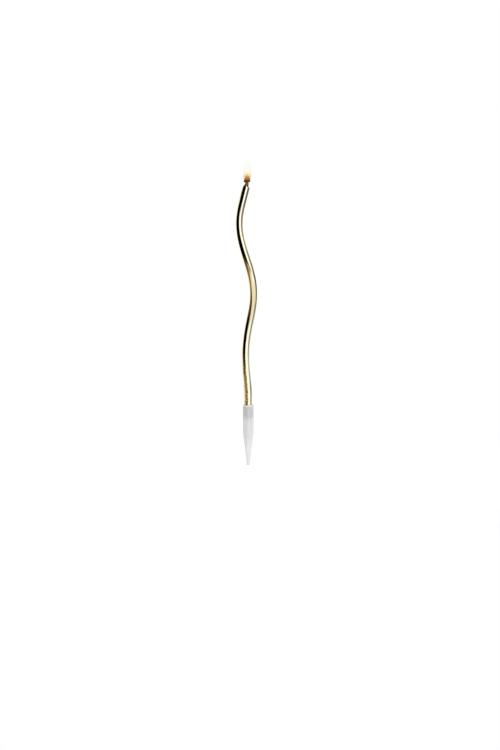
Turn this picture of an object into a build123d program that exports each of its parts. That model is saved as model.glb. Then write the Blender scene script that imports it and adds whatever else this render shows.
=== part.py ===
from build123d import *
import math
import os

# A spiral birthday candle in its push-in holder, in millimetres, +Z up.
# The origin is on the holder's axis, on the surface that the spike is pushed into.
# The front of the candle faces -Y.

# Candle rod
ROD_DIAMETER = 5.0
COAT_THICKNESS = 0.12
BOND_GAP = 0.04
FOOT_DEPTH = 8.0
FOOT_STRAIGHT = 1.6

# Spiral of the rod, measured upward from the holder's rim
SPIRAL_RISE = 124.0
SPIRAL_RADIUS_LOW = 0.3
SPIRAL_RADIUS_HIGH = 5.85
LEAD_LOW = 68.8
LEAD_HIGH = 99.0
START_ANGLE = -46.0
SPANS_PER_TURN = 8

# Straight end and nose of the rod
STUB_LENGTH = 9.0
NOSE_HEIGHT = 4.2
NOSE_TIP_DIAMETER = 1.6
COAT_NOSE_COVER = 3.4

# Wick
WICK_DIAMETER = 1.1
WICK_BEND_RADIUS = 8.0
WICK_TOP_LENGTH = 2.2

# Holder
RIM_HEIGHT = 28.4
RIM_BEAD_HEIGHT = 1.4
RIM_PROJECTION = 0.2
RIM_ROUNDING = 0.3
BARREL_LENGTH = 17.7
TAPER_LENGTH = 19.5
SPIKE_TIP_DIAMETER = 1.6
SPIKE_TIP_ROUNDING = 0.5
SOCKET_CLEARANCE = 0.15
SOCKET_WALL = 0.6
SOCKET_MOUTH_CHAMFER = 0.2
SEAT_GAP = 0.05
CORE_DIAMETER = 3.4
CORE_DEPTH = 13.0
RIB_COUNT = 4
RIB_RADIUS = 0.2
RIB_CLEARANCE = 0.03
GATE_MARK_WIDTH = 0.7
GATE_MARK_LENGTH = 2.4
GATE_MARK_DEPTH = 0.15
GATE_MARK_DROP = 6.0
GATE_MARK_ANGLE = 13.0

# Sizes that follow from those above
ROD_RADIUS = ROD_DIAMETER / 2
COAT_INNER_RADIUS = ROD_RADIUS - COAT_THICKNESS
WAX_RADIUS = COAT_INNER_RADIUS - BOND_GAP
WICK_RADIUS = WICK_DIAMETER / 2
BORE_RADIUS = WICK_RADIUS + BOND_GAP
NOSE_TIP_RADIUS = NOSE_TIP_DIAMETER / 2
NOSE_SLOPE = (WAX_RADIUS - NOSE_TIP_RADIUS) / NOSE_HEIGHT
SOCKET_RADIUS = ROD_RADIUS + SOCKET_CLEARANCE
BARREL_RADIUS = SOCKET_RADIUS + SOCKET_WALL
RIM_RADIUS = BARREL_RADIUS + RIM_PROJECTION
SPIKE_TIP_RADIUS = SPIKE_TIP_DIAMETER / 2
FOOT_Z = RIM_HEIGHT - FOOT_DEPTH
SOCKET_FLOOR_Z = FOOT_Z - SEAT_GAP
TAPER_TOP_Z = RIM_HEIGHT - BARREL_LENGTH
SPIKE_TIP_Z = TAPER_TOP_Z - TAPER_LENGTH
TURN_RATE_LOW = 2 * math.pi / LEAD_LOW
TURN_RATE_HIGH = 2 * math.pi / LEAD_HIGH
TURNS = SPIRAL_RISE * (1 / LEAD_LOW + 1 / LEAD_HIGH) / 2


def spiral_point(rise):
    """Centre of the rod at a height above the rim: a spiral that widens and stretches upward."""
    share = rise / SPIRAL_RISE
    radius = SPIRAL_RADIUS_LOW + (SPIRAL_RADIUS_HIGH - SPIRAL_RADIUS_LOW) * share
    mean_rate = TURN_RATE_LOW + (TURN_RATE_HIGH - TURN_RATE_LOW) * share / 2
    angle = math.radians(START_ANGLE) + mean_rate * rise
    return Vector(-radius * math.sin(angle), -radius * math.cos(angle), RIM_HEIGHT + rise)


def spiral_direction(rise):
    """Direction of the rod's centre line at a height above the rim."""
    step = SPIRAL_RISE / 10000
    return (spiral_point(rise + step) - spiral_point(rise - step)).normalized()


def biarc(start, start_direction, end, end_direction):
    """Two arcs that meet tangentially and join two points with given directions."""
    across = end - start
    along = across.dot(start_direction + end_direction)
    spread = 2 * (1 - start_direction.dot(end_direction))
    reach = (math.sqrt(along**2 + spread * across.dot(across)) - along) / spread
    start_handle = start + start_direction * reach
    end_handle = end - end_direction * reach
    middle = (start_handle + end_handle) * 0.5
    first = TangentArc(start, middle, tangent=start_direction)
    second = TangentArc(middle, end, tangent=end_handle - start_handle)
    return [first, second]


def rod_centre_line():
    """Edges of the rod's centre line, from its foot to the end of the spiral."""
    up = Vector(0, 0, 1)
    bend_start = Vector(0, 0, RIM_HEIGHT + FOOT_STRAIGHT)
    edges = [Line((0, 0, FOOT_Z), bend_start)]
    span_count = math.ceil(TURNS * SPANS_PER_TURN)
    point = bend_start
    direction = up
    for span in range(1, span_count + 1):
        rise = SPIRAL_RISE * span / span_count
        next_point = spiral_point(rise)
        next_direction = spiral_direction(rise)
        edges += biarc(point, direction, next_point, next_direction)
        point = next_point
        direction = next_direction
    return edges


def ring_at_foot(outer_radius, inner_radius):
    """Flat ring across the rod's foot, ready to be swept along it."""
    return Plane.XY.offset(FOOT_Z) * (Circle(outer_radius) - Circle(inner_radius))


def turned_on_stub(profile):
    """Solid turned from a profile in X and Z, standing on the end of the spiral."""
    stub_plane = Plane(origin=spiral_point(SPIRAL_RISE), z_dir=spiral_direction(SPIRAL_RISE))
    face = Plane.XZ * make_face(Polyline(*profile, close=True))
    return stub_plane * revolve(face, axis=Axis.Z)


def wax_body(centre_line):
    """Wax rod with its straight foot, spiral, cone-shaped nose and the bore for the wick."""
    spiral = sweep(ring_at_foot(WAX_RADIUS, BORE_RADIUS), path=centre_line)
    nose_top = STUB_LENGTH + NOSE_HEIGHT
    stub = turned_on_stub(
        [
            (BORE_RADIUS, 0),
            (WAX_RADIUS, 0),
            (WAX_RADIUS, STUB_LENGTH),
            (NOSE_TIP_RADIUS, nose_top),
            (BORE_RADIUS, nose_top),
        ]
    )
    return spiral + stub


def gold_coating(centre_line):
    """Thin metallic skin around the wax, open at the foot and below the tip of the nose."""
    spiral = sweep(ring_at_foot(ROD_RADIUS, COAT_INNER_RADIUS), path=centre_line)
    drawn_in = NOSE_SLOPE * COAT_NOSE_COVER
    cover_top = STUB_LENGTH + COAT_NOSE_COVER
    stub = turned_on_stub(
        [
            (COAT_INNER_RADIUS, 0),
            (ROD_RADIUS, 0),
            (ROD_RADIUS, STUB_LENGTH),
            (ROD_RADIUS - drawn_in, cover_top),
            (COAT_INNER_RADIUS - drawn_in, cover_top),
            (COAT_INNER_RADIUS, STUB_LENGTH),
        ]
    )
    return spiral + stub


def wick(centre_line):
    """Cotton wick through the whole rod, which leans out of the nose and turns upright."""
    direction = spiral_direction(SPIRAL_RISE)
    start = spiral_point(SPIRAL_RISE)
    nose_top = start + direction * (STUB_LENGTH + NOSE_HEIGHT)
    lean = math.acos(direction.Z)
    sideways = Vector(direction.X, direction.Y, 0).normalized()
    shift = WICK_BEND_RADIUS * (1 - math.cos(lean))
    climb = WICK_BEND_RADIUS * math.sin(lean)
    bend_top = nose_top + sideways * shift + Vector(0, 0, climb)
    end = bend_top + Vector(0, 0, WICK_TOP_LENGTH)
    path = centre_line + [
        Line(start, nose_top),
        TangentArc(nose_top, bend_top, tangent=direction),
        Line(bend_top, end),
    ]
    return sweep(Plane.XY.offset(FOOT_Z) * Circle(WICK_RADIUS), path=path)


def holder():
    """Moulded holder: beaded rim, barrel with a ribbed socket, and a tapered spike."""
    bead_bottom_z = RIM_HEIGHT - RIM_BEAD_HEIGHT
    bead_side_z = bead_bottom_z + RIM_PROJECTION
    lower = Polyline(
        (0, SPIKE_TIP_Z),
        (SPIKE_TIP_RADIUS, SPIKE_TIP_Z),
        (BARREL_RADIUS, TAPER_TOP_Z),
        (BARREL_RADIUS, bead_bottom_z),
    )
    bead_underside = TangentArc((BARREL_RADIUS, bead_bottom_z), (RIM_RADIUS, bead_side_z), tangent=(1, 0))
    upper = Polyline((RIM_RADIUS, bead_side_z), (RIM_RADIUS, RIM_HEIGHT), (0, RIM_HEIGHT), (0, SPIKE_TIP_Z))
    outline = lower.edges() + bead_underside.edges() + upper.edges()
    body = revolve(Plane.XZ * make_face(outline), axis=Axis.Z)
    top_edge = body.edges().filter_by(GeomType.CIRCLE).sort_by(Axis.Z)[-1]
    body = fillet(top_edge, RIM_ROUNDING)
    tip_edge = body.edges().filter_by(GeomType.CIRCLE).sort_by(Axis.Z)[0]
    body = fillet(tip_edge, SPIKE_TIP_ROUNDING)

    socket_depth = RIM_HEIGHT - SOCKET_FLOOR_Z
    bottom = (Align.CENTER, Align.CENTER, Align.MIN)
    socket = Pos(0, 0, SOCKET_FLOOR_Z) * Cylinder(SOCKET_RADIUS, socket_depth, align=bottom)
    core_floor_z = SOCKET_FLOOR_Z - CORE_DEPTH
    core = Pos(0, 0, core_floor_z) * Cylinder(CORE_DIAMETER / 2, CORE_DEPTH, align=bottom)
    body = body - socket - core
    mouth = body.edges().filter_by(GeomType.CIRCLE).group_by(Axis.Z)[-1].sort_by(SortBy.RADIUS)[0]
    body = chamfer(mouth, SOCKET_MOUTH_CHAMFER)

    rib_length = socket_depth - 2 * SOCKET_MOUTH_CHAMFER
    rib_centre = ROD_RADIUS + RIB_CLEARANCE + RIB_RADIUS
    rib = Pos(rib_centre, 0, SOCKET_FLOOR_Z) * Cylinder(RIB_RADIUS, rib_length, align=bottom)
    for index in range(RIB_COUNT):
        body = body + Rot(0, 0, (index + 0.5) * 360 / RIB_COUNT) * rib

    mark_plane = Plane(origin=(0, -BARREL_RADIUS, RIM_HEIGHT - GATE_MARK_DROP), z_dir=(0, -1, 0))
    mark = SlotOverall(GATE_MARK_LENGTH, GATE_MARK_WIDTH, rotation=90)
    mark_cut = extrude(mark_plane * mark, amount=GATE_MARK_DEPTH, both=True)
    return body - Rot(0, 0, GATE_MARK_ANGLE) * mark_cut


os.makedirs("parts", exist_ok=True)
rod_line = rod_centre_line()
nodes = {
    "holder": holder(),
    "wax_body": wax_body(rod_line),
    "gold_coating": gold_coating(rod_line),
    "wick": wick(rod_line),
}
for name, solid in nodes.items():
    export_step(solid, f"parts/{name}.step")

swept_length = sum(edge.length for edge in rod_line)
print("rod length along its centre line, foot to spiral top:", round(swept_length, 2), "mm")
print("spiral turns:", round(TURNS, 3))
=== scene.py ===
import math

import bpy
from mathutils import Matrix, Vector, noise


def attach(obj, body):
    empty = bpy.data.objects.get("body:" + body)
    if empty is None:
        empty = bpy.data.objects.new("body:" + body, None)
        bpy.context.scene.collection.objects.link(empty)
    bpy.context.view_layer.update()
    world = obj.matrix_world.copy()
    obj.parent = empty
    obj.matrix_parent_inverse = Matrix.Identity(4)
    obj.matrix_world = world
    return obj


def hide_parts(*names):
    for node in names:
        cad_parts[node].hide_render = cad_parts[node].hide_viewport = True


# A lit spiral birthday candle with a mirror-like gold skin, in its push-in holder.
# Sizes are in millimetres, as in the CAD model; the meshes are in metres, +Z up, front at -Y.

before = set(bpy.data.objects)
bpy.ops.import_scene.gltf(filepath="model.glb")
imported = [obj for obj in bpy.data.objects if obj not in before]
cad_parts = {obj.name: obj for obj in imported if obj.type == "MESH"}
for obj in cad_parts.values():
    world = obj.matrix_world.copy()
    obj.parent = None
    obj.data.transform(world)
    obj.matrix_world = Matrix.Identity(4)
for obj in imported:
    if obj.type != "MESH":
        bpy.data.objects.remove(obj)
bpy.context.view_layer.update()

MM = 0.001

# Rod, skin, wax and wick
ROD_RADIUS = 2.5
SKIN_INNER_RADIUS = 2.38
WAX_RADIUS = 2.34
BORE_RADIUS = 0.59
WICK_RADIUS = 0.55
WICK_BEND_RADIUS = 8.0
WICK_TOP_LENGTH = 2.2
STRAND_COUNT = 3
STRAND_LAY_LENGTH = 3.0
STRAND_END_WIDTH = 0.45
STRAND_END_WIDENING = 0.2
FOOT_Z = 20.4
FOOT_STRAIGHT = 1.6

# Spiral above the holder's rim
SPIRAL_RISE = 124.0
SPIRAL_RADIUS_LOW = 0.3
SPIRAL_RADIUS_HIGH = 5.85
LEAD_LOW = 68.8
LEAD_HIGH = 99.0
START_ANGLE = -46.0
BLEND_RISE = 9.54

# Straight end of the rod and its nose
STUB_LENGTH = 9.0
NOSE_HEIGHT = 4.2
NOSE_TIP_RADIUS = 0.8
NOSE_SLOPE = (WAX_RADIUS - NOSE_TIP_RADIUS) / NOSE_HEIGHT
SKIN_NOSE_COVER = 3.4
SKIN_SHOULDER_ROUNDING = 2.2
SKIN_INNER_ROUNDING = 0.4
SKIN_EDGE_ROUNDING = 0.05
WAX_SHOULDER_ROUNDING = 0.6
MELTED_ROUNDING = 0.3
MELTED_WIDENING = 0.1
MELTED_DIP = 0.15
BORE_EDGE_ROUNDING = 0.05

# Long soft waves in the skin: they start above the rim and fade out below the nose
WAVES_START = (0.2, 1.0)
WAVES_FADE = 3.0
WAVE_HEIGHT = 0.02
WAVES_ROUND = 0.6
WAVES_ALONG = 0.11

# Creases on one side of the skin's foot; the edge of that side is given by cosines
CREASE_HEIGHT = 0.15
CREASES_ROUND = 2.2
CREASES_ALONG = 0.9
CREASES_SHIFT = 5.0
CREASES_END = (18.0, 32.0)
CREASED_SIDE_ANGLE = 215.0
CREASED_SIDE_EDGE = (0.4, 0.85)

# Holder
RIM_HEIGHT = 28.4
RIM_RADIUS = 3.28
RIM_BEAD_HEIGHT = 1.4
RIM_ROUNDING = 0.35
LIP_SLOPE_HEIGHT = 1.0
LIP_FOOT_ROUNDING = 1.0
LIP_HEAD_ROUNDING = 0.8
BARREL_RADIUS = 3.25
TAPER_TOP_Z = 10.7
TAPER_ROUNDING = 14.0
SPIKE_TIP_Z = -8.8
SPIKE_TIP_RADIUS = 0.8
SPIKE_TIP_ROUNDING = 0.5
SOCKET_RADIUS = 2.65
SOCKET_CHAMFER = 0.2
SOCKET_EDGE_ROUNDING = 0.06
SOCKET_FLOOR_Z = 20.35
SOCKET_FLOOR_ROUNDING = 0.1
CORE_RADIUS = 1.7
CORE_FLOOR_Z = 7.35
CORE_ROUNDING = 0.4
RIB_COUNT = 4
RIB_RADIUS = 0.2
RIB_CENTRE_RADIUS = 2.73
RIB_TOP_Z = 28.0
RIB_LEAD_IN = 0.4
GATE_MARK_WIDTH = 0.7
GATE_MARK_LENGTH = 2.4
GATE_MARK_DEPTH = 0.15
GATE_MARK_EDGE = 0.15
GATE_MARK_Z = 22.4
GATE_MARK_ANGLE = -77.0

# Where the holder's two profiles end: beside its axis, and on the flat rim out from the socket's wall
PROFILE_AXIS_GAP = 0.1
OUTSIDE_RIM_END = 0.4
INSIDE_RIM_START = 0.35

# Flame
FLAME_OVERLAP = 0.95
FLAME_SHIFT = 1.0
FLAME_SWAY_X = 0.25
FLAME_SWAY_Y = 0.15
FLAME_SWAY_TURN = 2.6
FLAME_CORE_HEIGHT = 5.0
FLAME_CORE_RADIUS = 1.96
FLAME_BODY_HEIGHT = 9.0
FLAME_BODY_RADIUS = 2.25
FLAME_MANTLE_HEIGHT = 15.0
FLAME_MANTLE_RADIUS = 2.7

# Mesh fineness
ROD_GAP = 0.25
ROD_SIDES = 72
FOOT_BEND_STEPS = 60
SPIRAL_STEPS = 1200
WICK_BEND_STEPS = 16
STRAND_SIDES = 12
HOLDER_GAP = 0.25
HOLDER_SIDES = 192
ARC_STEPS = 8
FLAME_RINGS = 72
FLAME_SIDES = 48


# Numbers

def smoothstep(low, high, value):
    """0 up to low and 1 from high on, with an even curve between; it falls where low is above high."""
    share = min(max((value - low) / (high - low), 0.0), 1.0)
    return share * share * (3 - 2 * share)


def interpolated(pairs, value):
    """Value at a place between (place, value) pairs in rising order."""
    for (place, here), (next_place, there) in zip(pairs, pairs[1:]):
        if value <= next_place:
            share = max(value - place, 0.0) / (next_place - place)
            return here + (there - here) * share
    return pairs[-1][1]


# Centre line of the rod

def spiral_point(rise):
    """Centre of the rod at a height above the rim: a spiral that widens and stretches upward."""
    share = rise / SPIRAL_RISE
    radius = SPIRAL_RADIUS_LOW + (SPIRAL_RADIUS_HIGH - SPIRAL_RADIUS_LOW) * share
    rate_low = 2 * math.pi / LEAD_LOW
    rate_high = 2 * math.pi / LEAD_HIGH
    angle = math.radians(START_ANGLE) + (rate_low + (rate_high - rate_low) * share / 2) * rise
    return Vector((-radius * math.sin(angle), -radius * math.cos(angle), RIM_HEIGHT + rise))


def spiral_direction(rise):
    """Direction of the rod's centre line at a height above the rim."""
    step = 0.01
    return (spiral_point(rise + step) - spiral_point(rise - step)).normalized()


def eased_curve(start, start_direction, end, end_direction, count):
    """Points of a smooth curve that leaves and arrives along given directions."""
    handle = (end - start).length / 3
    leaving = start + start_direction * handle
    arriving = end - end_direction * handle
    points = []
    for index in range(count + 1):
        done = index / count
        left = 1 - done
        first_half = start * left ** 3 + leaving * 3 * done * left ** 2
        points.append(first_half + arriving * 3 * done * done * left + end * done ** 3)
    return points


def evenly_spaced(points, gap):
    """Points along a polyline at an even spacing, with both ends kept."""
    lengths = [0.0]
    for start, end in zip(points, points[1:]):
        lengths.append(lengths[-1] + (end - start).length)
    count = round(lengths[-1] / gap)
    spaced = []
    segment = 0
    for index in range(count + 1):
        wanted = lengths[-1] * index / count
        while segment < len(points) - 2 and lengths[segment + 1] < wanted:
            segment += 1
        share = (wanted - lengths[segment]) / (lengths[segment + 1] - lengths[segment])
        spaced.append(points[segment].lerp(points[segment + 1], share))
    return spaced


def rod_points():
    """The rod's centre line from its foot to the end of the spiral."""
    bend_start = Vector((0, 0, RIM_HEIGHT + FOOT_STRAIGHT))
    bend_end = spiral_point(BLEND_RISE)
    end_direction = spiral_direction(BLEND_RISE)
    points = [Vector((0, 0, FOOT_Z))]
    points += eased_curve(bend_start, Vector((0, 0, 1)), bend_end, end_direction, FOOT_BEND_STEPS)
    for index in range(1, SPIRAL_STEPS + 1):
        points.append(spiral_point(BLEND_RISE + (SPIRAL_RISE - BLEND_RISE) * index / SPIRAL_STEPS))
    return evenly_spaced(points, ROD_GAP)


def stations_along(points):
    """Centre, two cross axes and direction at each point, carried along without twist."""
    across = Vector((1, 0, 0))
    stations = []
    for index, point in enumerate(points):
        before = points[max(index - 1, 0)]
        after = points[min(index + 1, len(points) - 1)]
        direction = (after - before).normalized()
        across = (across - direction * across.dot(direction)).normalized()
        stations.append((point, across.copy(), direction.cross(across), direction))
    return stations


def upright_station(centre):
    """Station with level cross axes at a centre."""
    return centre, Vector((1, 0, 0)), Vector((0, 1, 0)), Vector((0, 0, 1))


rod_stations = stations_along(rod_points())
stub_start, stub_across, stub_side, stub_direction = rod_stations[-1]
nose_top = stub_start + stub_direction * (STUB_LENGTH + NOSE_HEIGHT)


def stub_station(distance):
    """Station on the straight end of the rod, at a distance from the end of the spiral."""
    return stub_start + stub_direction * distance, stub_across, stub_side, stub_direction


# Meshes

def point_round(station, angle, distance):
    """Point at an angle and a distance round a station."""
    centre, across, side = station[:3]
    return centre + (across * math.cos(angle) + side * math.sin(angle)) * distance


def ring(station, radius_at, sides):
    """Ring of points round a station; radius_at gives the radius at an angle."""
    angles = [2 * math.pi * index / sides for index in range(sides)]
    return [point_round(station, angle, radius_at(angle)) for angle in angles]


def add_rings(vertices, faces, rings, joined):
    """Adds a skin through rings; joined closes the last ring on the first, else both ends get caps."""
    first = len(vertices)
    sides = len(rings[0])
    for points in rings:
        vertices.extend(points)
    pairs = len(rings) if joined else len(rings) - 1
    for index in range(pairs):
        low = first + index * sides
        high = first + (index + 1) % len(rings) * sides
        for corner in range(sides):
            after = (corner + 1) % sides
            faces.append((low + corner, low + after, high + after, high + corner))
    if joined:
        return
    for ring_index, points in ((0, rings[0]), (len(rings) - 1, rings[-1])):
        middle = len(vertices)
        vertices.append(sum(points, Vector()) / sides)
        start = first + ring_index * sides
        for corner in range(sides):
            here = start + corner
            after = start + (corner + 1) % sides
            faces.append((middle, after, here) if ring_index == 0 else (middle, here, after))


def mesh_piece(name, vertices, faces, material):
    """Smooth mesh object in metres from points in millimetres."""
    mesh = bpy.data.meshes.new(name)
    mesh.from_pydata([point * MM for point in vertices], [], faces)
    mesh.polygons.foreach_set("use_smooth", [True] * len(mesh.polygons))
    mesh.materials.append(material)
    mesh.update()
    piece = bpy.data.objects.new(name, mesh)
    bpy.context.scene.collection.objects.link(piece)
    return piece


def ring_piece(name, skins, joined, material):
    """Mesh object with a skin through each list of rings."""
    vertices, faces = [], []
    for rings in skins:
        add_rings(vertices, faces, rings, joined)
    return mesh_piece(name, vertices, faces, material)


def rounded_profile(corners, gap):
    """Points (radius, height), at most gap apart, along corners (radius, height, rounding)."""
    outline = []
    for index, (radius, height, rounding) in enumerate(corners):
        corner = Vector((radius, height))
        if rounding == 0:
            outline.append(corner)
            continue
        back = (Vector(corners[index - 1][:2]) - corner).normalized()
        ahead = (Vector(corners[index + 1][:2]) - corner).normalized()
        half = back.angle(ahead) / 2
        centre = corner + (back + ahead).normalized() * (rounding / math.sin(half))
        start = corner + back * (rounding / math.tan(half)) - centre
        end = corner + ahead * (rounding / math.tan(half)) - centre
        for step in range(ARC_STEPS + 1):
            outline.append(centre + start.lerp(end, step / ARC_STEPS).normalized() * rounding)
    points = [outline[0]]
    for start, end in zip(outline, outline[1:]):
        pieces = max(math.ceil((end - start).length / gap), 1)
        points += [start.lerp(end, step / pieces) for step in range(1, pieces + 1)]
    return points


# Materials

def new_material(name):
    """Material with an empty node tree and its output node."""
    material = bpy.data.materials.new(name)
    material.use_nodes = True
    material.node_tree.nodes.clear()
    output = material.node_tree.nodes.new("ShaderNodeOutputMaterial")
    return material, material.node_tree, output


def add_node(tree, kind, settings=None, **inputs):
    """Node with its settings and the values of its inputs, whose names have _ for a space."""
    node = tree.nodes.new(kind)
    for key, value in (settings or {}).items():
        setattr(node, key, value)
    for key, value in inputs.items():
        node.inputs[key.replace("_", " ")].default_value = value
    return node


def height_share(tree, low_z, high_z, curve="SMOOTHSTEP"):
    """Socket that runs from 0 at low_z to 1 at high_z, in millimetres on the piece itself."""
    place = add_node(tree, "ShaderNodeTexCoord")
    split = add_node(tree, "ShaderNodeSeparateXYZ")
    share = add_node(tree, "ShaderNodeMapRange", {"interpolation_type": curve})
    share.inputs["From Min"].default_value = low_z * MM
    share.inputs["From Max"].default_value = high_z * MM
    tree.links.new(place.outputs["Object"], split.inputs[0])
    tree.links.new(split.outputs["Z"], share.inputs["Value"])
    return share.outputs["Result"]


def noise_field(tree, scale, detail, roughness):
    """Noise socket whose cells per metre along X, Y and Z are given by scale."""
    place = add_node(tree, "ShaderNodeTexCoord")
    mapping = add_node(tree, "ShaderNodeMapping", Scale=scale)
    field = add_node(tree, "ShaderNodeTexNoise", Scale=1.0, Detail=detail, Roughness=roughness)
    tree.links.new(place.outputs["Object"], mapping.inputs["Vector"])
    tree.links.new(mapping.outputs["Vector"], field.inputs["Vector"])
    return field.outputs["Fac"]


def ramp(tree, factor, stops):
    """Colour socket over a factor, with stops of (place, colour)."""
    node = add_node(tree, "ShaderNodeValToRGB")
    elements = node.color_ramp.elements
    while len(elements) < len(stops):
        elements.new(1.0)
    for element, (place, colour) in zip(elements, stops):
        element.position = place
        element.color = (*colour, 1)
    tree.links.new(factor, node.inputs["Fac"])
    return node.outputs["Color"]


def mapped(tree, factor, low, high):
    """Factor from 0..1 stretched to low..high."""
    node = add_node(tree, "ShaderNodeMapRange", To_Min=low, To_Max=high)
    tree.links.new(factor, node.inputs["Value"])
    return node.outputs["Result"]


def multiplied(tree, first, second):
    """Product of two sockets."""
    node = add_node(tree, "ShaderNodeMath", {"operation": "MULTIPLY"})
    tree.links.new(first, node.inputs[0])
    tree.links.new(second, node.inputs[1])
    return node.outputs[0]


def bumped(tree, height, distance, strength, normal=None):
    """Normal socket with a bump of a height field, distance in millimetres."""
    node = add_node(tree, "ShaderNodeBump", Distance=distance * MM, Strength=strength)
    tree.links.new(height, node.inputs["Height"])
    if normal is not None:
        tree.links.new(normal, node.inputs["Normal"])
    return node.outputs["Normal"]


def mixed_shader(tree, share, first, second):
    """Shader socket that runs from the first shader to the second as a share goes from 0 to 1."""
    node = add_node(tree, "ShaderNodeMixShader")
    tree.links.new(share, node.inputs["Fac"])
    tree.links.new(first, node.inputs[1])
    tree.links.new(second, node.inputs[2])
    return node.outputs[0]


def glowing_veil(tree, colour, cover):
    """Shader socket that glows in a colour as far as it covers, and is clear otherwise."""
    clear = add_node(tree, "ShaderNodeBsdfTransparent")
    light = add_node(tree, "ShaderNodeEmission", Strength=1.0)
    tree.links.new(colour, light.inputs["Color"])
    return mixed_shader(tree, cover, clear.outputs[0], light.outputs[0])


def gold_material():
    """Mirror-like gold skin: faintly uneven, with fine wrinkles across it just above the holder."""
    wrinkle_end, wrinkle_full = RIM_HEIGHT + 24, RIM_HEIGHT + 8
    material, tree, output = new_material("gold_skin_mirror")
    shader = add_node(tree, "ShaderNodeBsdfPrincipled", Metallic=1.0)
    clouds = noise_field(tree, (260, 260, 110), 3, 0.5)
    tone = ramp(tree, clouds, [(0.3, (0.93, 0.75, 0.40)), (0.7, (0.98, 0.83, 0.49))])
    foot = height_share(tree, wrinkle_end, wrinkle_full)
    wrinkles = multiplied(tree, foot, noise_field(tree, (700, 700, 1100), 2, 0.5))
    broad = bumped(tree, noise_field(tree, (180, 180, 60), 2, 0.5), 0.05, 0.15)
    tree.links.new(tone, shader.inputs["Base Color"])
    tree.links.new(mapped(tree, wrinkles, 0.04, 0.14), shader.inputs["Roughness"])
    tree.links.new(bumped(tree, wrinkles, 0.15, 0.6, broad), shader.inputs["Normal"])
    tree.links.new(shader.outputs[0], output.inputs["Surface"])
    return material


def holder_material():
    """Milky see-through plastic with faint upright streaks, and painted shade round the socket."""
    socket_blur = 1.5
    lip_low, lip_high = RIM_HEIGHT - 1.0, RIM_HEIGHT - 0.4
    material, tree, output = new_material("holder_milky_plastic")
    shader = add_node(tree, "ShaderNodeBsdfPrincipled", IOR=1.5)
    streaks = noise_field(tree, (900, 900, 60), 4, 0.6)
    plain_milky_tone = ramp(tree, streaks, [(0.3, (0.77, 0.772, 0.775)), (0.7, (0.83, 0.831, 0.832))])
    # Painted shade: the base colour turns a darker grey from the socket's floor up to below the lip,
    # standing in for the shade of the rod inside.
    painted_socket_shade = ramp(tree, streaks, [(0.3, (0.65, 0.652, 0.655)), (0.7, (0.71, 0.711, 0.712))])
    socket = height_share(tree, SOCKET_FLOOR_Z - socket_blur, SOCKET_FLOOR_Z + socket_blur)
    lip = height_share(tree, lip_low, lip_high)
    below_lip = height_share(tree, lip_high, lip_low)
    tone = add_node(tree, "ShaderNodeMix", {"data_type": "RGBA"})
    tree.links.new(multiplied(tree, socket, below_lip), tone.inputs["Factor"])
    tree.links.new(plain_milky_tone, tone.inputs["A"])
    tree.links.new(painted_socket_shade, tone.inputs["B"])
    tree.links.new(tone.outputs["Result"], shader.inputs["Base Color"])
    tree.links.new(mapped(tree, streaks, 0.28, 0.42), shader.inputs["Roughness"])
    tree.links.new(mapped(tree, lip, 0.65, 0.9), shader.inputs["Alpha"])
    tree.links.new(bumped(tree, streaks, 0.05, 0.08), shader.inputs["Normal"])
    tree.links.new(shader.outputs[0], output.inputs["Surface"])
    return material


def wax_material():
    """Ivory wax, slightly mottled and softly shining."""
    depth = 0.8 * MM
    material, tree, output = new_material("wax_ivory")
    shader = add_node(tree, "ShaderNodeBsdfPrincipled", Subsurface_Weight=0.25, Subsurface_Scale=depth)
    mottle = noise_field(tree, (800, 800, 800), 4, 0.6)
    tone = ramp(tree, mottle, [(0.3, (0.80, 0.77, 0.69)), (0.7, (0.90, 0.88, 0.82))])
    tree.links.new(tone, shader.inputs["Base Color"])
    tree.links.new(mapped(tree, mottle, 0.25, 0.5), shader.inputs["Roughness"])
    tree.links.new(bumped(tree, mottle, 0.05, 0.3), shader.inputs["Normal"])
    tree.links.new(shader.outputs[0], output.inputs["Surface"])
    return material


def wick_material():
    """Waxed cotton, charred where it stands out of the nose, with a glowing end."""
    char_start, char_end = nose_top.z - 0.4, nose_top.z + 3.6
    cotton, scorched, charred = (0.80, 0.72, 0.55), (0.30, 0.16, 0.06), (0.03, 0.02, 0.015)
    unlit, ember, glow = (0.0, 0.0, 0.0), (0.60, 0.24, 0.06), (1.0, 0.85, 0.5)
    material, tree, output = new_material("wick_cotton_charred")
    shader = add_node(tree, "ShaderNodeBsdfPrincipled", Roughness=0.85, Emission_Strength=1.0)
    char = height_share(tree, char_start, char_end)
    fibres = noise_field(tree, (6000, 6000, 2500), 3, 0.6)
    tone = ramp(tree, char, [(0.0, cotton), (0.35, scorched), (0.8, charred)])
    fibre_tone = ramp(tree, fibres, [(0.3, (0.65, 0.62, 0.58)), (0.7, (1.0, 1.0, 1.0))])
    shade = add_node(tree, "ShaderNodeMix", {"data_type": "RGBA", "blend_type": "MULTIPLY"}, Factor=1.0)
    tree.links.new(tone, shade.inputs["A"])
    tree.links.new(fibre_tone, shade.inputs["B"])
    tree.links.new(shade.outputs["Result"], shader.inputs["Base Color"])
    light = ramp(tree, char, [(0.3, unlit), (0.7, ember), (1.0, glow)])
    tree.links.new(light, shader.inputs["Emission Color"])
    tree.links.new(bumped(tree, fibres, 0.05, 0.5), shader.inputs["Normal"])
    tree.links.new(shader.outputs[0], output.inputs["Surface"])
    return material


def flame_material(name, base_z, height, glow, cover):
    """Burning gas; glow lists (height above the base, colour), and cover (height, how far it covers)."""
    material, tree, output = new_material(name)
    share = height_share(tree, base_z, base_z + height, "LINEAR")
    colour = ramp(tree, share, [(rise / height, tone) for rise, tone in glow])
    covering = ramp(tree, share, [(rise / height, (amount,) * 3) for rise, amount in cover])
    tree.links.new(glowing_veil(tree, colour, covering), output.inputs["Surface"])
    return material


# Pieces of the candle

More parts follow.
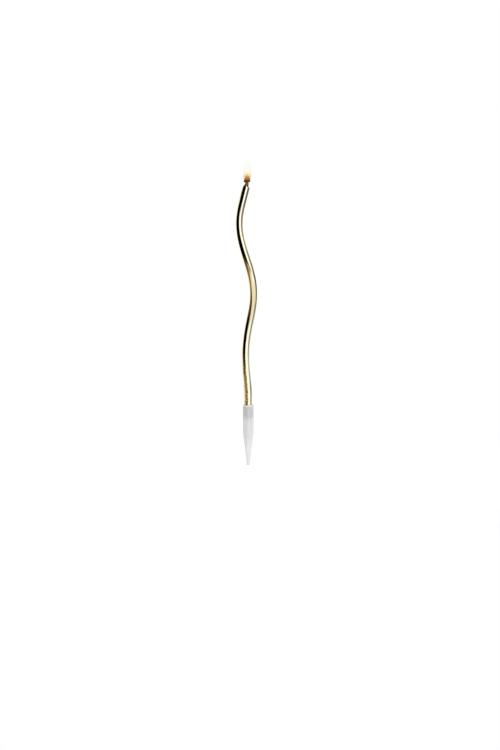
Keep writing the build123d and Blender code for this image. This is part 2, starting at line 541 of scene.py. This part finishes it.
def ripple(angle, rise):
    """How far the skin stands off its true radius at an angle and a height above the rim.

    Long soft waves run along the whole rod, and short creases lie on one side of its foot.
    """
    clear_of_socket = smoothstep(*WAVES_START, rise)
    outward = Vector((math.cos(angle), math.sin(angle), 0))
    waves = noise.noise(outward * WAVES_ROUND + Vector((0, 0, rise * WAVES_ALONG)))
    foot = 1 - smoothstep(*CREASES_END, rise)
    creased_side = smoothstep(*CREASED_SIDE_EDGE, math.cos(angle - math.radians(CREASED_SIDE_ANGLE)))
    creases = noise.noise(outward * CREASES_ROUND + Vector((CREASES_SHIFT, 0, rise * CREASES_ALONG)))
    return clear_of_socket * (WAVE_HEIGHT * waves + CREASE_HEIGHT * foot * creased_side * creases)


def add_gold_skin():
    """Thin gold skin: wall along the whole rod, soft shoulder and cone, open at both ends."""
    drawn_in = NOSE_SLOPE * SKIN_NOSE_COVER
    cover_top = STUB_LENGTH + SKIN_NOSE_COVER
    wall_middle = (SKIN_INNER_RADIUS + ROD_RADIUS) / 2
    foot_rise = FOOT_Z - RIM_HEIGHT
    end_rise = foot_rise + (len(rod_stations) - 1) * ROD_GAP
    nose = rounded_profile(
        [
            (ROD_RADIUS, ROD_GAP, 0),
            (ROD_RADIUS, STUB_LENGTH, SKIN_SHOULDER_ROUNDING),
            (ROD_RADIUS - drawn_in, cover_top, SKIN_EDGE_ROUNDING),
            (SKIN_INNER_RADIUS - drawn_in, cover_top, SKIN_EDGE_ROUNDING),
            (SKIN_INNER_RADIUS, STUB_LENGTH, SKIN_INNER_ROUNDING),
            (SKIN_INNER_RADIUS, ROD_GAP, 0),
        ],
        ROD_GAP,
    )
    rings = []
    for index, station in enumerate(rod_stations):
        rise = foot_rise + index * ROD_GAP
        rings.append(ring(station, lambda angle: ROD_RADIUS + ripple(angle, rise), ROD_SIDES))
    for radius, distance in nose:
        station = stub_station(distance)
        rise = end_rise + distance
        fading = 1 - smoothstep(STUB_LENGTH - WAVES_FADE, STUB_LENGTH, distance)
        wave = fading if radius > wall_middle else 0.0
        rings.append(ring(station, lambda angle: radius + wave * ripple(angle, rise), ROD_SIDES))
    for station in reversed(rod_stations):
        rings.append(ring(station, lambda angle: SKIN_INNER_RADIUS, ROD_SIDES))
    skin = ring_piece("gold_skin_wall", [rings], True, gold_material())
    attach(skin, "candle")
    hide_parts("gold_coating")


def add_wax_core():
    """Wax rod with its bore for the wick; the bare tip of the nose is melted round."""
    sides = ROD_SIDES // 2
    bare_start = STUB_LENGTH + SKIN_NOSE_COVER
    tip = STUB_LENGTH + NOSE_HEIGHT
    nose = rounded_profile(
        [
            (WAX_RADIUS, ROD_GAP, 0),
            (WAX_RADIUS, STUB_LENGTH, WAX_SHOULDER_ROUNDING),
            (WAX_RADIUS - NOSE_SLOPE * SKIN_NOSE_COVER, bare_start, MELTED_ROUNDING),
            (NOSE_TIP_RADIUS + MELTED_WIDENING, tip, MELTED_ROUNDING),
            (BORE_RADIUS, tip - MELTED_DIP, BORE_EDGE_ROUNDING),
            (BORE_RADIUS, ROD_GAP, 0),
        ],
        ROD_GAP,
    )
    rings = [ring(station, lambda angle: WAX_RADIUS, sides) for station in rod_stations]
    rings += [ring(stub_station(distance), lambda angle: radius, sides) for radius, distance in nose]
    rings += [ring(station, lambda angle: BORE_RADIUS, sides) for station in reversed(rod_stations)]
    wax = ring_piece("wax_core", [rings], True, wax_material())
    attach(wax, "candle")
    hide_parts("wax_body")


def wick_points():
    """The wick's line: the rod's centre line, its nose, and a bend to an upright end."""
    lean = math.acos(stub_direction.z)
    sideways = Vector((stub_direction.x, stub_direction.y, 0)).normalized()
    points = [station[0] for station in rod_stations] + [nose_top]
    for index in range(1, WICK_BEND_STEPS + 1):
        angle = lean * (1 - index / WICK_BEND_STEPS)
        shift = WICK_BEND_RADIUS * (math.cos(angle) - math.cos(lean))
        climb = WICK_BEND_RADIUS * (math.sin(lean) - math.sin(angle))
        points.append(nose_top + sideways * shift + Vector((0, 0, climb)))
    points.append(points[-1] + Vector((0, 0, WICK_TOP_LENGTH)))
    return evenly_spaced(points, ROD_GAP)


def strand_rings(line, strand):
    """Rings of one strand that twists round the wick's line and narrows at both ends."""
    strand_radius = WICK_RADIUS / (1 + 2 / math.sqrt(3))
    strand_offset = WICK_RADIUS - strand_radius
    points = []
    for index, station in enumerate(line):
        angle = 2 * math.pi * (index * ROD_GAP / STRAND_LAY_LENGTH + strand / STRAND_COUNT)
        points.append(point_round(station, angle, strand_offset))
    last = len(points) - 1
    rings = []
    for index, station in enumerate(stations_along(points)):
        taper = min(1.0, STRAND_END_WIDTH + STRAND_END_WIDENING * min(index, last - index))
        rings.append(ring(station, lambda angle: strand_radius * taper, STRAND_SIDES))
    return rings


def add_wick():
    """Cotton wick of three twisted strands, as long as the whole rod; gives the point where it ends."""
    line = stations_along(wick_points())
    strands = [strand_rings(line, strand) for strand in range(STRAND_COUNT)]
    wick = ring_piece("wick_strands", strands, False, wick_material())
    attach(wick, "candle")
    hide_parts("wick")
    return line[-1][0]


def add_flame_shell(name, base, height, radius, width, glow, cover):
    """Closed upright shell of gas.

    width lists (share of the height, share of the radius); glow and cover list (height above the
    base, colour) and (height above the base, how far it covers), with the heights in millimetres.
    """
    rings = []
    for index in range(FLAME_RINGS + 1):
        share = index / FLAME_RINGS
        wide = radius * interpolated(width, share)
        sway_x = FLAME_SWAY_X * math.sin(share * FLAME_SWAY_TURN)
        sway = Vector((sway_x, FLAME_SWAY_Y * share * share, 0))
        centre = base + sway * share + Vector((0, 0, height * share))
        rings.append(ring(upright_station(centre), lambda angle: wide, FLAME_SIDES))
    shell = ring_piece(name, [rings], False, flame_material(name, base.z, height, glow, cover))
    shell.visible_shadow = False
    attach(shell, "candle")


def add_flame(wick_end):
    """Small upright flame round the end of the wick: dark-footed core, yellow body and faint mantle."""
    base = Vector((wick_end.x - FLAME_SHIFT, wick_end.y, nose_top.z - FLAME_OVERLAP))
    add_flame_shell(
        "flame_core",
        base,
        FLAME_CORE_HEIGHT,
        FLAME_CORE_RADIUS,
        width=[
            (0.0, 0.97),
            (0.03, 1.0),
            (0.2, 0.99),
            (0.27, 0.9),
            (0.46, 0.87),
            (0.6, 0.72),
            (0.72, 0.54),
            (0.84, 0.34),
            (0.94, 0.17),
            (1.0, 0.03),
        ],
        glow=[
            (0.0, (0.06, 0.018, 0.006)),
            (1.1, (0.06, 0.014, 0.004)),
            (1.4, (0.15, 0.02, 0.012)),
            (2.1, (0.27, 0.047, 0.035)),
            (2.7, (0.49, 0.17, 0.075)),
            (3.4, (0.60, 0.25, 0.115)),
            (4.0, (0.62, 0.40, 0.24)),
            (4.6, (0.86, 0.66, 0.45)),
            (5.0, (1.0, 0.85, 0.6)),
        ],
        cover=[(0.0, 0.96), (3.9, 0.94), (4.5, 0.7), (5.0, 0.4)],
    )
    add_flame_shell(
        "flame_body",
        base,
        FLAME_BODY_HEIGHT,
        FLAME_BODY_RADIUS,
        width=[
            (0.0, 0.86),
            (0.06, 0.96),
            (0.15, 1.0),
            (0.4, 0.99),
            (0.55, 0.95),
            (0.68, 0.84),
            (0.8, 0.65),
            (0.9, 0.42),
            (0.97, 0.2),
            (1.0, 0.03),
        ],
        glow=[
            (0.0, (0.69, 0.39, 0.0)),
            (3.0, (0.69, 0.39, 0.0)),
            (3.8, (0.785, 0.44, 0.0)),
            (4.4, (0.88, 0.57, 0.0)),
            (5.0, (0.92, 0.69, 0.02)),
            (5.6, (0.96, 0.84, 0.24)),
            (6.2, (1.0, 0.95, 0.46)),
            (8.0, (1.0, 1.0, 0.70)),
            (9.0, (1.0, 1.0, 0.90)),
        ],
        cover=[
            (0.0, 0.0),
            (1.1, 0.0),
            (1.5, 0.22),
            (3.0, 0.24),
            (3.8, 0.34),
            (4.6, 0.29),
            (6.2, 0.22),
            (9.0, 0.04),
        ],
    )
    add_flame_shell(
        "flame_mantle",
        base,
        FLAME_MANTLE_HEIGHT,
        FLAME_MANTLE_RADIUS,
        width=[
            (0.0, 0.6),
            (0.03, 0.8),
            (0.1, 0.96),
            (0.22, 1.0),
            (0.45, 0.99),
            (0.6, 0.94),
            (0.75, 0.8),
            (0.87, 0.56),
            (0.95, 0.28),
            (1.0, 0.03),
        ],
        glow=[(0.0, (0.60, 0.55, 0.30)), (6.0, (0.60, 0.60, 0.20)), (15.0, (0.70, 0.70, 0.5))],
        cover=[(0.0, 0.0), (1.5, 0.02), (6.0, 0.05), (12.0, 0.05), (15.0, 0.01)],
    )


# The holder

def gate_mark_depth(angle, z):
    """Depth of the slot-shaped moulding mark at a place on the barrel."""
    turn = math.remainder(angle - math.radians(GATE_MARK_ANGLE), 2 * math.pi)
    beside = abs(turn) * BARREL_RADIUS
    beyond = max(abs(z - GATE_MARK_Z) - (GATE_MARK_LENGTH - GATE_MARK_WIDTH) / 2, 0.0)
    reach = math.hypot(beside, beyond)
    half_width = GATE_MARK_WIDTH / 2
    return GATE_MARK_DEPTH * (1 - smoothstep(half_width - GATE_MARK_EDGE, half_width, reach))


def rib_height(angle, z):
    """How far a grip rib stands into the socket at a place on its wall."""
    spacing = 2 * math.pi / RIB_COUNT
    turn = math.remainder(angle - spacing / 2, spacing)
    beside = abs(turn) * SOCKET_RADIUS
    if beside >= RIB_RADIUS:
        return 0.0
    crest = RIB_CENTRE_RADIUS - math.sqrt(RIB_RADIUS ** 2 - beside ** 2)
    return max(SOCKET_RADIUS - crest, 0.0) * smoothstep(RIB_TOP_Z, RIB_TOP_Z - RIB_LEAD_IN, z)


def add_holder():
    """Moulded holder: rounded lip, barrel with a ribbed socket, hollow core and tapered spike."""
    slack = 0.01
    bead_bottom_z = RIM_HEIGHT - RIM_BEAD_HEIGHT
    outside = rounded_profile(
        [
            (PROFILE_AXIS_GAP, SPIKE_TIP_Z, 0),
            (SPIKE_TIP_RADIUS, SPIKE_TIP_Z, SPIKE_TIP_ROUNDING),
            (BARREL_RADIUS, TAPER_TOP_Z, TAPER_ROUNDING),
            (BARREL_RADIUS, bead_bottom_z - LIP_SLOPE_HEIGHT / 2, LIP_FOOT_ROUNDING),
            (RIM_RADIUS, bead_bottom_z + LIP_SLOPE_HEIGHT / 2, LIP_HEAD_ROUNDING),
            (RIM_RADIUS, RIM_HEIGHT, RIM_ROUNDING),
            (SOCKET_RADIUS + OUTSIDE_RIM_END, RIM_HEIGHT, 0),
        ],
        HOLDER_GAP,
    )
    inside = rounded_profile(
        [
            (SOCKET_RADIUS + INSIDE_RIM_START, RIM_HEIGHT, 0),
            (SOCKET_RADIUS + SOCKET_CHAMFER, RIM_HEIGHT, SOCKET_EDGE_ROUNDING),
            (SOCKET_RADIUS, RIM_HEIGHT - SOCKET_CHAMFER, SOCKET_EDGE_ROUNDING),
            (SOCKET_RADIUS, SOCKET_FLOOR_Z, SOCKET_FLOOR_ROUNDING),
            (CORE_RADIUS, SOCKET_FLOOR_Z, SOCKET_FLOOR_ROUNDING),
            (CORE_RADIUS, CORE_FLOOR_Z, CORE_ROUNDING),
            (PROFILE_AXIS_GAP, CORE_FLOOR_Z, 0),
        ],
        HOLDER_GAP,
    )
    rings = []
    for radius, z in outside:
        station = upright_station(Vector((0, 0, z)))
        rings.append(ring(station, lambda angle: radius - gate_mark_depth(angle, z), HOLDER_SIDES))
    for radius, z in inside:
        station = upright_station(Vector((0, 0, z)))
        on_wall = radius > SOCKET_RADIUS - slack and z > SOCKET_FLOOR_Z + SOCKET_FLOOR_ROUNDING
        rings.append(ring(station, lambda angle: radius - on_wall * rib_height(angle, z), HOLDER_SIDES))
    holder = ring_piece("holder_moulding", [rings], False, holder_material())
    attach(holder, "holder")
    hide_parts("holder")


# Studio cards, which only mirror surfaces see

CARD_RADIUS = 120.0
NEAR_CARD_RADIUS = 25.0
CARD_TOP_Z = 480.0
CARD_COLUMNS = 60
CARD_ROWS = 120
MOTTLE_WIDTH = 18.0
MOTTLE_HEIGHT = 2.0
APRON_INNER_RADIUS = 80.0
APRON_REACH = 420.0
APRON_FADE = 16.0

# Tones of the cards; the cool ones look plain grey or white in gold
BLACK = Vector((0.0, 0.0, 0.0))
DEEP_BROWN = Vector((0.06, 0.045, 0.025))
DIM_BROWN = Vector((0.17, 0.14, 0.08))
BROWN = Vector((0.32, 0.26, 0.13))
TAN = Vector((0.52, 0.46, 0.36))
PALE_TAN = Vector((0.72, 0.70, 0.56))
DARK_GREY = Vector((0.10, 0.11, 0.14))
DIM_GREY = Vector((0.20, 0.22, 0.30))
GREY = Vector((0.30, 0.33, 0.46))
LIGHT_GREY = Vector((0.65, 0.75, 1.0))
WARM_WHITE = Vector((0.92, 0.97, 1.15))
SOFT_WHITE = Vector((1.05, 1.17, 1.5))
COOL_WHITE = Vector((1.15, 1.32, 1.95))
CLEAR_WHITE = Vector((1.2, 1.45, 2.4))
BRIGHT_WHITE = Vector((1.25, 1.38, 1.9))


def card_material():
    """Card that glows in its own tone and fades out at its edges."""
    material, tree, output = new_material("studio_card")
    tone = add_node(tree, "ShaderNodeAttribute", {"attribute_name": "tone"})
    cover = add_node(tree, "ShaderNodeAttribute", {"attribute_name": "cover"})
    veil = glowing_veil(tree, tone.outputs["Color"], cover.outputs["Fac"])
    tree.links.new(veil, output.inputs["Surface"])
    return material


def faded(distance, fade):
    """Cover at a distance inside an edge that fades out; an edge without a fade is hard."""
    return smoothstep(0, fade, distance) if fade else 1.0


def around(radius, azimuth, z):
    """Point at a distance from the holder's axis and an azimuth in degrees from the front."""
    turn = math.radians(azimuth)
    return Vector((radius * math.sin(turn), -radius * math.cos(turn), z))


def value_at(setting, z):
    """What a setting is at a height: it is one value, or a list of (height, value)."""
    return interpolated(setting, z) if isinstance(setting, list) else setting


def add_patch(name, material, rows):
    """Sheet through rows of (point, tone, cover) that only mirror surfaces see."""
    columns = len(rows[0])
    spots = [spot for row in rows for spot in row]
    faces = []
    for row in range(len(rows) - 1):
        for column in range(columns - 1):
            corner = row * columns + column
            faces.append((corner, corner + 1, corner + columns + 1, corner + columns))
    patch = mesh_piece(name, [point for point, tone, cover in spots], faces, material)
    colours = [channel for point, tone, cover in spots for channel in (*tone, 1.0)]
    covers = [cover for point, tone, cover in spots]
    patch.data.attributes.new("tone", "FLOAT_COLOR", "POINT").data.foreach_set("color", colours)
    patch.data.attributes.new("cover", "FLOAT", "POINT").data.foreach_set("value", covers)
    patch.visible_camera = False
    patch.visible_diffuse = False
    patch.visible_transmission = False
    patch.visible_shadow = False


def add_card(name, material, radius, heights, left, right, tone, fades, mottle=0.0):
    """Upright curved card round the candle, between two heights.

    left and right are the azimuths of its side edges, tone is its colour and mottle says how patchy
    that is; each is one value, or a list of (height, value). fades gives how far the card fades out
    at its left, right, low and high edge, in degrees and millimetres.
    """
    low, high = heights
    left_fade, right_fade, low_fade, high_fade = fades
    rows = []
    for row in range(CARD_ROWS + 1):
        z = low + (high - low) * row / CARD_ROWS
        start, end = value_at(left, z), value_at(right, z)
        colour, patchy = value_at(tone, z), value_at(mottle, z)
        within = faded(z - low, low_fade) * faded(high - z, high_fade)
        spots = []
        for column in range(CARD_COLUMNS + 1):
            azimuth = start + (end - start) * column / CARD_COLUMNS
            beside = faded(azimuth - start, left_fade) * faded(end - azimuth, right_fade)
            shade = 1 + patchy * noise.noise((azimuth / MOTTLE_WIDTH, z / MOTTLE_HEIGHT, 0))
            spots.append((around(radius, azimuth, z), colour * max(shade, 0.0), beside * within))
        rows.append(spots)
    add_patch(name, material, rows)


def add_apron(name, material, lift, outer_radius, start, end, tone):
    """Flat card a little above the floor, out to a distance from the axis and between two azimuths."""
    rows = []
    for radius in (APRON_INNER_RADIUS, outer_radius):
        spots = []
        for column in range(CARD_COLUMNS + 1):
            azimuth = start + (end - start) * column / CARD_COLUMNS
            cover = faded(azimuth - start, APRON_FADE) * faded(end - azimuth, APRON_FADE)
            spots.append((around(radius, azimuth, SPIKE_TIP_Z + lift), tone, cover))
        rows.append(spots)
    add_patch(name, material, rows)


def add_flags(material):
    """Black flags that give the mirror its dark stripe."""
    add_card(
        "studio_flag",
        material,
        CARD_RADIUS,
        (84, CARD_TOP_Z),
        [(84, -110), (160, -110), (200, -100), (CARD_TOP_Z, -145)],
        [(84, 70), (110, 18), (200, -10), (240, 0), (CARD_TOP_Z, 5)],
        BLACK,
        (5, 15, 15, 15),
    )
    add_card(
        "studio_flag_near",
        material,
        NEAR_CARD_RADIUS + 1,
        (160, 230),
        -128,
        [(160, 12), (175, 5), (230, 5)],
        BLACK,
        (20, 12, 6, 10),
    )


def add_left_cards(material):
    """Tan, brown and black cards that the left side of the rod's lower part shows."""
    add_card(
        "studio_card_left",
        material,
        CARD_RADIUS + 2,
        (SPIKE_TIP_Z, 100),
        [(SPIKE_TIP_Z, -175), (40, -105), (100, -105)],
        [(SPIKE_TIP_Z, -40), (25, -40), (60, -10), (100, 0)],
        [(SPIKE_TIP_Z, PALE_TAN), (30, TAN), (45, TAN), (65, BROWN), (80, BROWN), (100, BLACK)],
        (10, 8, 0, 8),
    )
    add_card(
        "studio_card_left_near",
        material,
        NEAR_CARD_RADIUS,
        (14, 130),
        [(14, -75), (40, -90), (58, -73), (84, -130), (95, -100), (130, -90)],
        [(14, -5), (72, -8), (82, -38), (92, -20), (130, -5)],
        [
            (14, DEEP_BROWN),
            (26, DEEP_BROWN),
            (28, BROWN),
            (40, BROWN),
            (46, DIM_BROWN),
            (60, BLACK),
            (81, BLACK),
            (87, BROWN),
            (104, DIM_BROWN),
            (116, BLACK),
        ],
        (7, 12, 6, 15),
        [(14, 1.5), (52, 1.5), (64, 0.0)],
    )


def add_right_cards(material):
    """Grey and dark cards that draw the narrow line along the right side of the rod."""
    add_card(
        "studio_card_right",
        material,
        CARD_RADIUS + 4,
        (SPIKE_TIP_Z, CARD_TOP_Z),
        [(SPIKE_TIP_Z, 30), (110, 60), (155, 42), (190, 42), (220, 30), (CARD_TOP_Z, 20)],
        [(SPIKE_TIP_Z, 125), (130, 128), (190, 90), (CARD_TOP_Z, 80)],
        [
            (SPIKE_TIP_Z, DARK_GREY),
            (28, LIGHT_GREY),
            (75, LIGHT_GREY),
            (100, BLACK),
            (130, DARK_GREY),
            (175, GREY),
            (190, GREY),
            (220, DARK_GREY),
        ],
        (10, 7, 0, 10),
    )
    add_card(
        "studio_card_right_near",
        material,
        NEAR_CARD_RADIUS + 0.5,
        (14, 150),
        [(14, 42), (25, 42), (54, 68), (70, 48), (82, 68), (104, 56), (150, 56)],
        [(14, 123), (54, 86), (78, 105), (104, 107), (150, 78)],
        [
            (14, LIGHT_GREY),
            (36, DIM_GREY),
            (48, DIM_GREY),
            (56, GREY),
            (75, DIM_GREY),
            (104, DARK_GREY),
            (125, GREY),
        ],
        (13, 5, 6, 15),
    )
    add_card(
        "studio_card_tip",
        material,
        NEAR_CARD_RADIUS,
        (147, 215),
        [(147, 82), (180, 25), (215, 15)],
        [(147, 105), (165, 80), (215, 65)],
        [(147, DEEP_BROWN), (180, BLACK), (215, DARK_GREY)],
        (11, 16, 10, 10),
    )


def add_front_cards(material):
    """White and tan cards that give the mirror its pale stripe, and a brown one above the candle."""
    add_card(
        "studio_card_shine",
        material,
        NEAR_CARD_RADIUS + 3,
        (158, 215),
        0,
        48,
        CLEAR_WHITE,
        (10, 10, 8, 10),
    )
    add_card(
        "studio_card_tan",
        material,
        CARD_RADIUS - 2,
        (23, 70),
        -20,
        3,
        PALE_TAN,
        (12, 12, 10, 10),
    )
    add_card(
        "studio_card_bend",
        material,
        NEAR_CARD_RADIUS + 2,
        (96, 114),
        -35,
        28,
        TAN,
        (12, 14, 10, 6),
    )
    add_card(
        "studio_card_top",
        material,
        CARD_RADIUS / 2,
        (232, CARD_TOP_Z),
        -150,
        95,
        DIM_BROWN,
        (10, 10, 8, 8),
    )
    add_card(
        "studio_card_foot",
        material,
        CARD_RADIUS / 3,
        (6, 66),
        [(6, -13), (66, -3)],
        [(6, 65), (66, 55)],
        COOL_WHITE,
        (18, 20, 6, 8),
    )
    add_card(
        "studio_card_front",
        material,
        CARD_RADIUS + 6,
        (42, CARD_TOP_Z),
        -60,
        70,
        [(42, SOFT_WHITE), (60, SOFT_WHITE), (80, COOL_WHITE), (120, BRIGHT_WHITE)],
        (16, 20, 8, 8),
    )


def add_back_cards(material):
    """White cards behind the candle, which the edges of the rod show."""
    radius, heights, fades = CARD_RADIUS + 8, (SPIKE_TIP_Z, CARD_TOP_Z), (12, 12, 0, 8)
    add_card("studio_card_back_right", material, radius, heights, 90, 164, COOL_WHITE, fades)
    add_card("studio_card_back_left", material, radius, heights, -164, -92, SOFT_WHITE, fades)


def add_aprons(material):
    """Flat cards just above the floor, which the foot of the rod shows."""
    add_apron("studio_apron_front", material, 0.2, APRON_REACH, -45, 75, WARM_WHITE)
    add_apron("studio_apron_left", material, 0.4, CARD_RADIUS, -125, -12, BROWN)
    add_apron("studio_apron_right", material, 0.4, CARD_RADIUS, 50, 118, GREY)


def add_cards():
    """All the cards, which share one material."""
    material = card_material()
    add_flags(material)
    add_left_cards(material)
    add_right_cards(material)
    add_front_cards(material)
    add_back_cards(material)
    add_aprons(material)


# Studio floor, background, lamp and camera

def seen_directly(tree):
    """Socket that is 1 for what the camera sees, by itself or in metal and through clear things."""
    path = add_node(tree, "ShaderNodeLightPath")
    first = add_node(tree, "ShaderNodeMath", {"operation": "MAXIMUM"})
    second = add_node(tree, "ShaderNodeMath", {"operation": "MAXIMUM"})
    tree.links.new(path.outputs["Is Camera Ray"], first.inputs[0])
    tree.links.new(path.outputs["Is Glossy Ray"], first.inputs[1])
    tree.links.new(first.outputs[0], second.inputs[0])
    tree.links.new(path.outputs["Is Transmission Ray"], second.inputs[1])
    return second.outputs[0]


def floor_material():
    """Pale floor that turns into the white background a little way from the object."""
    pale_reach, white_reach = 60.0, 250.0
    material, tree, output = new_material("studio_floor")
    pale = add_node(tree, "ShaderNodeBsdfDiffuse", Color=(0.82, 0.82, 0.82, 1))
    lift = add_node(tree, "ShaderNodeEmission", Strength=0.30)
    white = add_node(tree, "ShaderNodeEmission", Strength=1.0)
    lifted = add_node(tree, "ShaderNodeAddShader")
    tree.links.new(pale.outputs[0], lifted.inputs[0])
    tree.links.new(lift.outputs[0], lifted.inputs[1])
    place = add_node(tree, "ShaderNodeTexCoord")
    distance = add_node(tree, "ShaderNodeVectorMath", {"operation": "LENGTH"})
    far = add_node(tree, "ShaderNodeMapRange", {"interpolation_type": "SMOOTHSTEP"})
    far.inputs["From Min"].default_value = pale_reach * MM
    far.inputs["From Max"].default_value = white_reach * MM
    tree.links.new(place.outputs["Object"], distance.inputs[0])
    tree.links.new(distance.outputs["Value"], far.inputs["Value"])
    fading = mixed_shader(tree, far.outputs["Result"], lifted.outputs[0], white.outputs[0])
    surface = mixed_shader(tree, seen_directly(tree), pale.outputs[0], fading)
    tree.links.new(surface, output.inputs["Surface"])
    return material


def add_floor():
    """Round floor under the tip of the spike."""
    reach, sides = 1500.0, 96
    edge = ring(upright_station(Vector()), lambda angle: reach, sides)
    floor = mesh_piece("studio_floor", edge, [tuple(range(sides))], floor_material())
    floor.location.z = SPIKE_TIP_Z * MM


def add_world():
    """White background that lights the object less than it shows."""
    world = bpy.data.worlds.new("studio_world")
    bpy.context.scene.world = world
    world.use_nodes = True
    tree = world.node_tree
    tree.nodes.clear()
    output = add_node(tree, "ShaderNodeOutputWorld")
    fill = add_node(tree, "ShaderNodeBackground", Color=(1, 1, 1, 1), Strength=0.72)
    white = add_node(tree, "ShaderNodeBackground", Color=(1, 1, 1, 1), Strength=1.0)
    surface = mixed_shader(tree, seen_directly(tree), fill.outputs[0], white.outputs[0])
    tree.links.new(surface, output.inputs["Surface"])


def add_aimed(name, data, target, azimuth, elevation, distance):
    """Lamp or camera at a distance from a target, facing it, with its angles in degrees."""
    turn, lift = math.radians(azimuth), math.radians(elevation)
    level = math.cos(lift)
    towards = Vector((math.sin(turn) * level, -math.cos(turn) * level, math.sin(lift)))
    aimed = bpy.data.objects.new(name, data)
    bpy.context.scene.collection.objects.link(aimed)
    aimed.location = target * MM + towards * (distance * MM)
    aimed.rotation_euler = towards.to_track_quat("Z", "Y").to_euler()
    return aimed


def add_lamp():
    """Large soft lamp in front of the candle, above it and a little to its right."""
    width, height, radiance = 1200 * MM, 1000 * MM, 1.7
    data = bpy.data.lights.new("studio_lamp", "AREA")
    data.shape = "RECTANGLE"
    data.size = width
    data.size_y = height
    data.energy = radiance * math.pi * width * height
    lamp = add_aimed("studio_lamp", data, Vector((0, 0, 90)), azimuth=24, elevation=32, distance=1000)
    lamp.visible_camera = False


def add_camera():
    """Long lens in front of the candle, slightly above it."""
    target, distance, view_height = Vector((1.08, 0, 46.85)), 1500.0, 457.5
    data = bpy.data.cameras.new("camera")
    data.sensor_width = 36.0
    data.lens = data.sensor_width * distance / view_height
    camera = add_aimed("camera", data, target, azimuth=0, elevation=8, distance=distance)
    bpy.context.scene.camera = camera


bpy.context.scene.view_settings.view_transform = "Standard"
add_camera()
add_world()
add_lamp()
add_floor()
add_cards()
add_holder()
add_gold_skin()
add_wax_core()
add_flame(add_wick())
